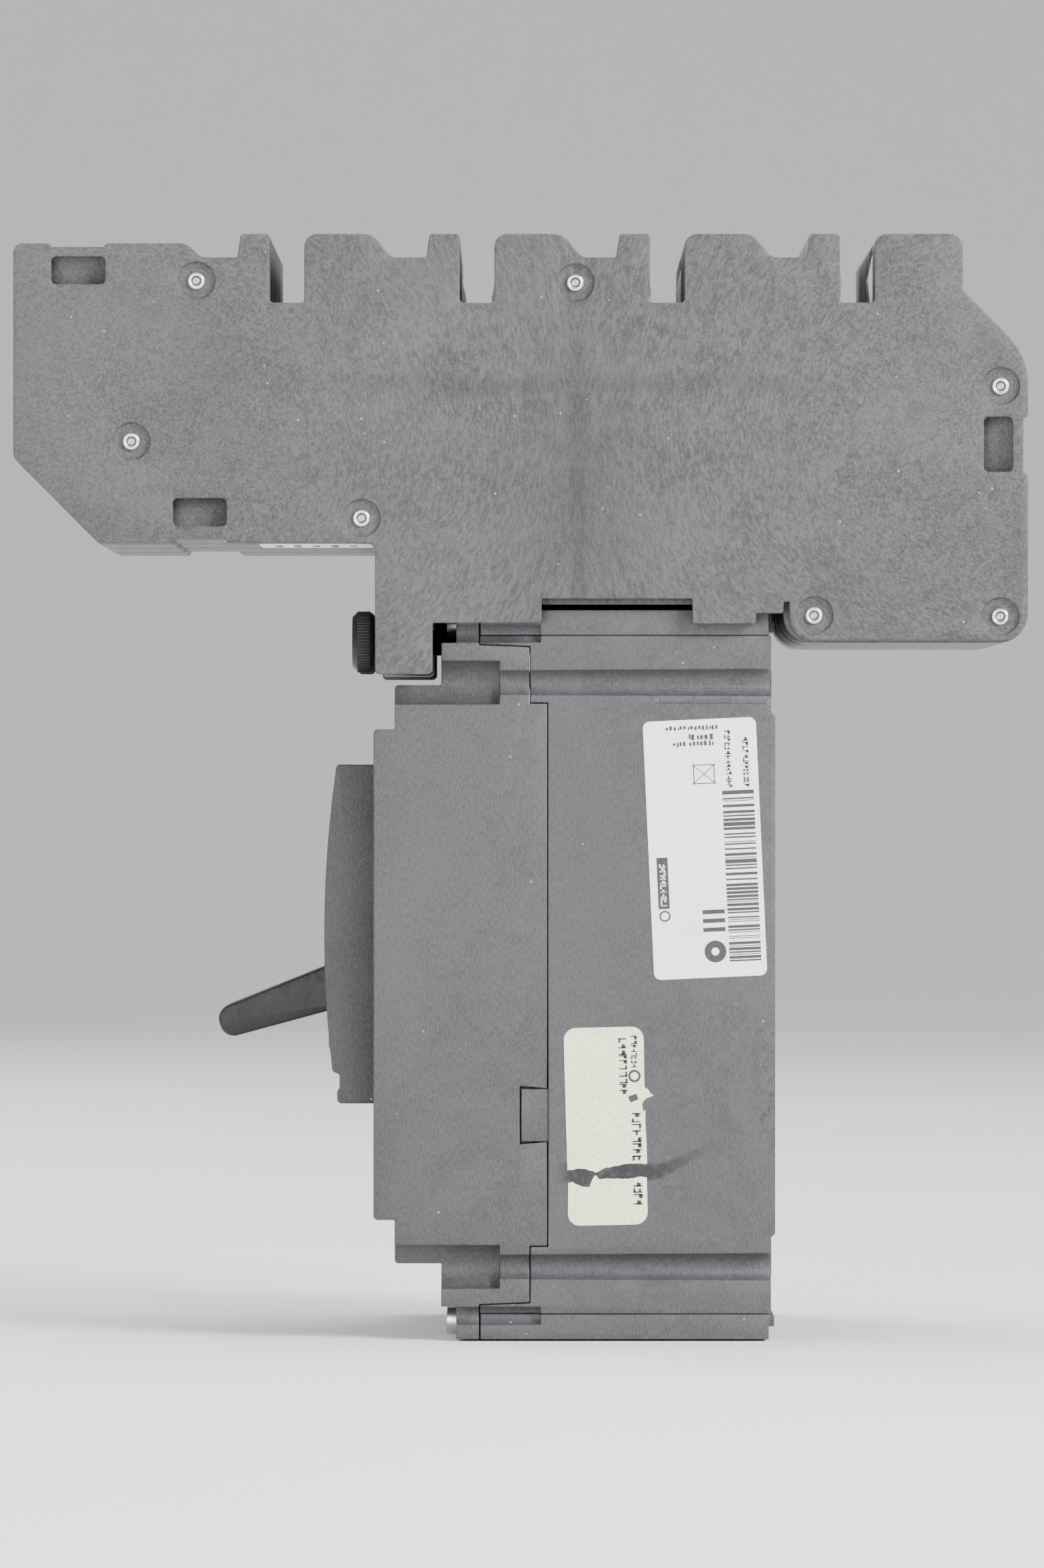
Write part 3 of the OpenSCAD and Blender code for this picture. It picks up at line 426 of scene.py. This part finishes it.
white_film = film("white_film", (0.93, 0.93, 0.915), (0.50, 0.48, 0.42))
cream_film = film("cream_film", (0.90, 0.93, 0.60), (0.34, 0.33, 0.28), lines=line_work)


def print_ink():
    """Dark print that has worn thin in specks."""
    f = Finish("print_ink", specular=0.3)
    thin = f.ease(f.noise(0.00025, detail=3, rough=0.7), 0.52, 0.74)
    paint = f.mix(thin * 0.35, (0.050, 0.047, 0.053), (0.30, 0.29, 0.30))
    return f.feed(colour=paint, roughness=f.ease(thin, 0, 1, 0.42, 0.6))


ink = print_ink()

NODE_FINISH = {
    housing_plastic: ["housing_side_plate", "housing_right_shell", "housing_centre_shell",
                      "housing_left_shell"],
    base_plastic: ["base", "line_end_cap", "load_end_cap"],
    cover_plastic: ["cover", "nose"],
    handle_plastic: ["handle"],
    black_plastic: ["securing_screw_right", "securing_screw_left", "setting_dial", "trip_case"],
    inner_plastic: ["arc_chute_cheeks", "trip_bar"],
    rotor_plastic: ["contact_rotor"],
    red_plastic: ["trip_button"],
    white_film: ["large_label"],
    cream_film: ["small_label"],
    tin_plate: ["line_straps", "load_lugs", "terminal_screws"]
    + ["jaw_finger_%s_%s" % (pole, side) for pole in POLES for side in SIDES],
    rivet_metal: ["housing_rivets"],
    zinc_steel: ["jaw_cages", "jaw_pins", "jaw_springs", "cover_screws", "lug_screws", "handle_yoke",
                 "handle_pins", "side_plates", "cradle", "cradle_pin", "anchor_pins", "upper_links",
                 "lower_links", "toggle_pin", "crank_pin", "main_springs", "trip_button_spring",
                 "line_arc_plates", "load_arc_plates"],
    magnet_iron: ["magnet_yokes"] + ["armature_%s" % pole for pole in POLES],
    copper: ["contact_bridges", "line_contacts", "load_contacts"],
    bimetal_strip: ["bimetals"],
}
for material, names in NODE_FINISH.items():
    for name in names:
        for place in frame["nodes"][name].material_slots:
            place.material = material


# ---------------------------------------------------------------- mesh work


def finished(bm, name, material, body, stands_for=(), smooth=35):
    """Turns a bmesh into a piece of one finish that rides on a body."""
    mesh = bpy.data.meshes.new(name)
    bm.to_mesh(mesh)
    bm.free()
    mesh.materials.append(material)
    mesh.shade_smooth()
    mesh.set_sharp_from_angle(angle=math.radians(smooth))
    piece = bpy.data.objects.new(name, mesh)
    bpy.context.scene.collection.objects.link(piece)
    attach(piece, body)
    if stands_for:
        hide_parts(*stands_for)
    return piece


def added(bm, before):
    """The vertices that a bmesh has gained."""
    return [v for v in bm.verts if v not in before]


def eased(node, width, sharp=28):
    """A copy of a CAD node with its sharp edges rounded, standing in for the node."""
    source = frame["nodes"][node]
    bm = bmesh.new()
    bm.from_mesh(source.data)
    bmesh.ops.remove_doubles(bm, verts=bm.verts, dist=2e-6)
    bmesh.ops.dissolve_limit(bm, angle_limit=math.radians(1), verts=bm.verts, edges=bm.edges)
    edges = [e for e in bm.edges if e.is_manifold and e.calc_face_angle(0) > math.radians(sharp)]
    bmesh.ops.bevel(bm, geom=edges, offset=width * MM, segments=2, profile=0.5, affect="EDGES",
                    clamp_overlap=False, material=-1)
    return finished(bm, node + "_moulded", source.material_slots[0].material, body_of(source)[0],
                    [node])


def block(bm, at, size, turn=Matrix.Identity(4)):
    """A small block with its middle at a place, both in millimetres."""
    place = turn @ Matrix.Translation(metres(*at)) @ Matrix.Diagonal((*metres(*size), 1))
    bmesh.ops.create_cube(bm, size=1, matrix=place)


def ring(bm, at, radius, width, height, turn=Matrix.Identity(4), steps=32):
    """A flat ring that rises along local X."""
    before = set(bm.verts)
    edge = [bm.verts.new(metres(x, r, 0)) for x, r in
            ((0, radius), (height, radius), (height, radius - width), (0, radius - width))]
    loop = [bm.edges.new((edge[i], edge[(i + 1) % 4])) for i in range(4)]
    bmesh.ops.spin(bm, geom=edge + loop, cent=(0, 0, 0), axis=(1, 0, 0), angle=math.tau,
                   steps=steps, use_merge=True)
    bmesh.ops.transform(bm, verts=added(bm, before), matrix=turn @ Matrix.Translation(metres(*at)))


def turned_part(bm, profile, place, steps=40):
    """A part turned on a lathe about local Z from [radius, height] points, then put in place."""
    before = set(bm.verts)
    points = [bm.verts.new(metres(r, 0, h)) for r, h in profile]
    edges = [bm.edges.new(pair) for pair in zip(points, points[1:])]
    bmesh.ops.spin(bm, geom=points + edges, cent=(0, 0, 0), axis=(0, 0, 1), angle=math.tau,
                   steps=steps, use_merge=True)
    bmesh.ops.transform(bm, verts=added(bm, before), matrix=place)


def closed(bm):
    bmesh.ops.remove_doubles(bm, verts=bm.verts, dist=1e-6)
    bmesh.ops.recalc_face_normals(bm, faces=bm.faces)


def sheet_of(bm, outline, thickness, place):
    """A thin flat sheet: outline points [u, v, corner radius] in millimetres, risen along local X."""
    before = set(bm.verts)
    points = [bm.verts.new(metres(0, u, v)) for u, v, radius in outline]
    bm.faces.new(points)
    for point, (u, v, radius) in zip(points, outline):
        if radius:
            bmesh.ops.bevel(bm, geom=[point], offset=radius * MM, segments=8, profile=0.5,
                            affect="VERTICES", material=-1)
    face = added(bm, before)[0].link_faces[0]
    made = bmesh.ops.extrude_face_region(bm, geom=[face])
    top = [e for e in made["geom"] if isinstance(e, bmesh.types.BMVert)]
    bmesh.ops.translate(bm, verts=top, vec=metres(thickness, 0, 0))
    bmesh.ops.transform(bm, verts=added(bm, before), matrix=place)


# ---------------------------------------------------------------- mouldings with eased edges

EASED = {
    "housing_side_plate": 0.3, "housing_right_shell": 0.2, "housing_centre_shell": 0.2,
    "housing_left_shell": 0.25, "cover": 0.25, "base": 0.25, "nose": 0.35, "line_end_cap": 0.2,
    "load_end_cap": 0.2, "handle": 0.6, "securing_screw_right": 0.1, "securing_screw_left": 0.1,
    "setting_dial": 0.2, "trip_button": 0.25, "terminal_screws": 0.2, "lug_screws": 0.2,
    "cover_screws": 0.15,
}  # each node's width of rounding, in millimetres
for node, width in EASED.items():
    eased(node, width)


# ---------------------------------------------------------------- tubular rivets

RIVET_PLACES = [(-123.8, 148.3), (-42.8, 147.9), (-137.7, 114), (-88.5, 97.6), (48.1, 125.8),
                (8.2, 76.8), (48, 76.6)]


def rivets():
    """A rolled flange at each end of a rivet, round a dull domed core that runs right through."""
    end_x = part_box("housing_rivets")[1].x / MM
    flange = [(1.0, -0.62), (1.04, -0.30), (1.2, -0.06), (1.42, 0), (1.64, -0.06), (1.82, -0.24),
              (1.9, -0.45), (1.86, -0.65), (1.5, -0.65), (1.5, -3), (1.0, -3), (1.0, -0.62)]
    core = [(0, -0.34), (0.4, -0.37), (0.7, -0.48), (0.88, -0.72), (0.95, -1.1), (0.95, -end_x)]
    kinds = (("rivet_flanges", flange, rivet_metal), ("rivet_cores", core, rivet_core))
    for name, profile, material in kinds:
        bm = bmesh.new()
        for y, z in RIVET_PLACES:
            for facing in (1, -1):
                place = (Matrix.Translation(metres(facing * end_x, y, z))
                         @ Matrix.Rotation(facing * math.pi / 2, 4, "Y"))
                turned_part(bm, profile, place)
        closed(bm)
        piece = finished(bm, name, material, "root", smooth=60)
    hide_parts("housing_rivets")


rivets()


# ---------------------------------------------------------------- labels on the base's right side

LABEL_X = 52.51
FILM_T = 0.12
PRINT_T = 0.02
LARGE_SIZE = (24.2, 55.3)
LARGE_PLACE = (Matrix.Translation(metres(LABEL_X, -15.05, 27)) @ Matrix.Rotation(math.radians(2.6), 4, "X"))
SMALL_PLACE = (Matrix.Translation(metres(LABEL_X, -36.3, -32.4)) @ Matrix.Rotation(math.radians(1.3), 4, "X"))


def bar(bm, place, u, v, wide, high):
    """One printed mark on a label, with its middle at u, v."""
    block(bm, (FILM_T + PRINT_T / 2, u, v), (PRINT_T, wide, high), place)


def greeked_column(bm, place, u, low, high, wide, chance):
    """A line of print turned upright: unreadable signs of a few strokes each."""
    v = low
    while v < high:
        step = chance.uniform(0.75, 1.15) * wide * 0.75
        tall = step * 0.72
        bar(bm, place, u + chance.choice((-0.4, 0, 0.4)) * wide, v, wide * 0.26, tall)
        bar(bm, place, u, v + chance.choice((-0.4, 0.4)) * tall, wide, tall * 0.34)
        if chance.random() < 0.65:
            bar(bm, place, u + 0.22 * wide, v, wide * 0.26, tall * 0.8)
        v += step


def greeked_row(bm, place, u, v, long, high, chance):
    """A line of print lying along u."""
    at = u - long / 2
    while at < u + long / 2:
        step = chance.uniform(0.5, 0.9) * high
        bar(bm, place, at, v + chance.uniform(-0.12, 0.12) * high, step * 0.62, high * chance.uniform(0.5, 1))
        at += step + (high * 0.5 if chance.random() < 0.12 else 0)


def bar_code(bm, place, u, low, high, wide, chance):
    v = low
    while v < high:
        thick = chance.choice((0.18, 0.35, 0.35, 0.6, 0.6, 0.85))
        bar(bm, place, u, v + thick / 2, wide, thick)
        v += thick + chance.choice((0.22, 0.22, 0.35, 0.7))


def large_label():
    u, v = LARGE_SIZE[0] / 2, LARGE_SIZE[1] / 2
    bm = bmesh.new()
    sheet_of(bm, [(-u, -v, 1.5), (u, -v, 1.5), (u, v, 1.5), (-u, v, 1.5)], FILM_T, LARGE_PLACE)
    closed(bm)
    finished(bm, "large_label_film", white_film, "root", ["large_label"])
    # Places and sizes on the label are in millimetres from its middle, u across and v up
    chance = random.Random(7)
    bm = bmesh.new()
    bar_code(bm, LARGE_PLACE, 7.6, -24.4, 11.5, 6.8, chance)
    greeked_column(bm, LARGE_PLACE, 5.8, 13.1, 25.2, 1.25, chance)
    greeked_column(bm, LARGE_PLACE, 9.6, 13.1, 23.2, 1.25, chance)
    greeked_row(bm, LARGE_PLACE, -1.6, 25.9, 10.8, 1.0, chance)
    greeked_row(bm, LARGE_PLACE, 0.6, 23.9, 5.6, 1.3, chance)
    greeked_row(bm, LARGE_PLACE, -0.9, 22.5, 9.4, 1.1, chance)
    # A crossed square, a plain disc, a stack of three bars and a dark title block
    for u, v, wide, high in ((0.5, 13.9, 4.6, 0.2), (0.5, 17.9, 4.6, 0.2), (-1.7, 15.9, 0.2, 4),
                             (2.7, 15.9, 0.2, 4)):
        bar(bm, LARGE_PLACE, u, v, wide, high)
    for lean in (-40, 40):
        cross = (LARGE_PLACE @ Matrix.Translation(metres(0, 0.5, 15.9))
                 @ Matrix.Rotation(math.radians(lean), 4, "X"))
        bar(bm, cross, 0, 0, 6.6, 0.16)
    for v in (-17.4, -15.5, -13.6):
        bar(bm, LARGE_PLACE, 1.25, v, 4.8, 0.9)
    ring(bm, (FILM_T, 1.25, -22.1), 2.35, 1.5, PRINT_T, LARGE_PLACE)
    bar(bm, LARGE_PLACE, -9.3, -7.05, 2.4, 11)
    ring(bm, (FILM_T, -9.2, -14.1), 1.2, 0.35, PRINT_T, LARGE_PLACE)
    closed(bm)
    finished(bm, "large_label_print", ink, "root")
    bm = bmesh.new()
    raised = LARGE_PLACE @ Matrix.Translation(metres(PRINT_T, 0, 0))
    greeked_column(bm, raised, -9.3, -11.6, -2.6, 1.3, chance)
    closed(bm)
    finished(bm, "large_label_title", white_film, "root")


def small_label():
    """A film torn in two across its lower part, with a frayed flap at its right edge."""
    chance = random.Random(3)
    upper_tear = [(8.7, -8.2), (6.7, -8.1), (4.4, -8.15), (1.5, -8.55), (-0.8, -9.1), (-2.4, -9.9),
                  (-4.1, -9.2), (-5.9, -8.9), (-7.7, -9.2), (-8.4, -9.3)]
    lower_tear = [(-8.3, -12), (-7.3, -11.8), (-6.5, -12.3), (-5.3, -12.8), (-3.7, -12.9), (-3.2, -11.5),
                  (-2.4, -10.4), (-1.7, -11.3), (0.4, -11.2), (3.4, -11.4), (4.9, -11.25), (6.7, -11),
                  (8.55, -11.1)]
    flap = [(8.5, 8.1), (9.26, 7.7), (9.7, 6.9), (10.4, 6.3), (8.9, 5.8), (8.3, 5.3), (7.9, 4.5),
            (8.05, 3.2), (8.55, 3.15), (8.5, 0.5), (8.62, -3)]

    def frayed(line):
        """The torn line with small seeded steps put between its points."""
        points = []
        for a, b in zip(line, line[1:]):
            for share in (0, 0.35, 0.7):
                shake = chance.uniform(-0.14, 0.14) if share else 0
                points.append((a[0] + (b[0] - a[0]) * share, a[1] + (b[1] - a[1]) * share + shake, 0))
        return points + [(*line[-1], 0)]

    bm = bmesh.new()
    sheet_of(bm, [(-8.55, 21.15, 2.6)] + frayed(upper_tear)[::-1] + [(u, v, 0) for u, v in flap[::-1]]
             + [(8.55, 21.15, 2.6)], FILM_T, SMALL_PLACE)
    sheet_of(bm, [(-8.55, -21.15, 2.6), (8.55, -21.15, 2.6)] + frayed(lower_tear)[::-1], FILM_T, SMALL_PLACE)
    closed(bm)
    finished(bm, "small_label_film", cream_film, "root", ["small_label"])
    bm = bmesh.new()
    greeked_column(bm, SMALL_PLACE, 4.0, 7.2, 18.8, 1.7, chance)
    greeked_column(bm, SMALL_PLACE, 6.4, 12.8, 18.8, 1.3, chance)
    ring(bm, (FILM_T, 6.4, 10.6), 1.35, 0.5, PRINT_T, SMALL_PLACE)
    greeked_column(bm, SMALL_PLACE, 6.6, -7.0, 3.4, 1.9, chance)
    greeked_column(bm, SMALL_PLACE, 6.6, -16.4, -12.2, 1.9, chance)
    # The hole that the flap has left
    lean = Matrix.Rotation(math.radians(20), 4, "X")
    hole = SMALL_PLACE @ Matrix.Translation(metres(FILM_T, 6.05, 5.9)) @ lean
    block(bm, (PRINT_T / 2, 0, 0), (PRINT_T, 1.9, 1.35), hole)
    closed(bm)
    finished(bm, "small_label_print", ink, "root")


large_label()
small_label()


# ---------------------------------------------------------------- marks on the front and the underside


def front_marks():
    """Ticks round the setting dial, a bar and a ring at the handle's two ends, and a rating plate."""
    chance = random.Random(11)
    dial_low, dial_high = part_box("setting_dial")
    dial = (dial_low + dial_high) / 2
    cover_y, nose_y = -0.086, -0.097
    facing = Matrix.Rotation(math.radians(-90), 4, "Z")
    bm = bmesh.new()
    for i in range(10):
        spoke = (Matrix.Translation((dial.x, cover_y, dial.z)) @ facing
                 @ Matrix.Rotation(math.radians(-135 + 30 * i), 4, "X"))
        block(bm, (0.03, 0, 7), (0.06, 0.3, 1.5 if i % 3 == 0 else 0.9), spoke)
    handle_z, sign_off, nose_r = 8.4, 23.5, 250
    sink = nose_r - math.sqrt(nose_r**2 - sign_off**2)
    for way in (1, -1):
        lean = Matrix.Rotation(way * math.asin(sign_off / nose_r), 4, "X")
        spot = Matrix.Translation(metres(0, nose_y / MM + sink, handle_z + way * sign_off)) @ lean @ facing
        if way > 0:
            block(bm, (0.03, 0, 0), (0.08, 0.9, 4.2), spot)
        else:
            ring(bm, (0, 0, 0), 2.2, 0.75, 0.07, spot)
    closed(bm)
    finished(bm, "front_signs", white_film, "root")
    plate = Matrix.Translation(metres(-21, cover_y / MM, -39.6)) @ facing
    bm = bmesh.new()
    for row, long in enumerate((34, 27, 31, 18)):
        greeked_row(bm, plate, (long - 36) / 2, 4 - row * 2.6, long, 1.6, chance)
    closed(bm)
    finished(bm, "rating_plate_print", ink, "root")
    bm = bmesh.new()
    sheet_of(bm, [(-21, -6.4, 1.5), (21, -6.4, 1.5), (21, 6.4, 1.5), (-21, 6.4, 1.5)], FILM_T, plate)
    closed(bm)
    finished(bm, "rating_plate", white_film, "root")


def underside_label():
    """A white label on the jaw housing's underside, in front of the body, with five lines of print."""
    down = Matrix.Translation(metres(36, -98.5, 92.2)) @ Matrix.Rotation(math.radians(90), 4, "Y")
    bm = bmesh.new()
    sheet_of(bm, [(-12, -15, 2), (12, -15, 2), (12, 15, 2), (-12, 15, 2)], FILM_T, down)
    closed(bm)
    finished(bm, "underside_label", white_film, "root")
    bm = bmesh.new()
    chance = random.Random(5)
    for row, long in enumerate((16, 19, 12, 18, 9)):
        greeked_column(bm, down, -8 + row * 4, -long / 2, long / 2, 1.6, chance)
    closed(bm)
    finished(bm, "underside_print", ink, "root")


front_marks()
underside_label()


# ---------------------------------------------------------------- floor, light and camera


FLOOR_GAP = 0.0004


def floor():
    """A pale floor that sweeps up into a wall all round."""
    level = cad_low.z - FLOOR_GAP
    flat, sweep, top = 2.6, 2.6, 7.0
    bm = bmesh.new()
    rise = [math.radians(angle) for angle in range(6, 91, 6)]
    profile = [(0, 0), (flat, 0)]
    profile += [(flat + sweep * math.sin(a), sweep * (1 - math.cos(a))) for a in rise]
    profile.append((flat + sweep, top))
    turned_part(bm, [(r / MM, (level + h) / MM) for r, h in profile], Matrix.Identity(4), steps=64)
    closed(bm)
    for face in bm.faces:
        if face.normal.z < 0 and abs(face.normal.z) > 0.5:
            face.normal_flip()
    mesh = bpy.data.meshes.new("floor")
    bm.to_mesh(mesh)
    bm.free()
    mesh.shade_smooth()
    paper = Finish("floor_paper", roughness=0.9)
    paper.feed(colour=paper.mix(paper.noise(0.4) * 0.2, (0.80, 0.80, 0.79), (0.77, 0.77, 0.765)))
    mesh.materials.append(paper.material)
    piece = bpy.data.objects.new("floor", mesh)
    bpy.context.scene.collection.objects.link(piece)


def lamp(name, place, width, power):
    """A square soft box that faces the breaker."""
    data = bpy.data.lights.new(name, "AREA")
    data.shape = "SQUARE"
    data.size = width
    data.energy = power
    light = bpy.data.objects.new(name, data)
    light.location = place
    middle = (cad_low + cad_high) / 2
    light.rotation_euler = (middle - Vector(place)).to_track_quat("-Z", "Y").to_euler()
    bpy.context.scene.collection.objects.link(light)


# Each lamp's place, width in metres and power in watts
LAMPS = {
    "key": ((1.0, 1.2, 0.9), 0.7, 72),
    "front": ((1.6, -0.8, 0.4), 1.0, 22),
    "top": ((-0.3, -0.2, 1.9), 1.2, 34),
    "rim": ((-1.4, -1.2, 0.8), 0.8, 20),
}
WORLD_STRENGTH = 0.75

floor()
for name, (place, width, power) in LAMPS.items():
    lamp(name, place, width, power)

world = bpy.data.worlds.new("studio")
world.use_nodes = True
world.node_tree.nodes["Background"].inputs["Color"].default_value = (1, 1, 1, 1)
world.node_tree.nodes["Background"].inputs["Strength"].default_value = WORLD_STRENGTH
bpy.context.scene.world = world

# The camera looks level along -X at the breaker's right side
VIEW_DISTANCE = 2.0
PICTURE_HEIGHT = 0.3354
VIEW_CENTRE = (0.0525, -0.0542, 0.0408)
camera_data = bpy.data.cameras.new("camera")
camera_data.sensor_fit = "VERTICAL"
camera_data.sensor_height = 36
camera_data.lens = camera_data.sensor_height * VIEW_DISTANCE / PICTURE_HEIGHT
camera_data.clip_end = 20
camera = bpy.data.objects.new("camera", camera_data)
camera.location = (VIEW_CENTRE[0] + VIEW_DISTANCE, *VIEW_CENTRE[1:])
camera.rotation_euler = (math.radians(90), 0, math.radians(90))
bpy.context.scene.collection.objects.link(camera)
bpy.context.scene.camera = camera
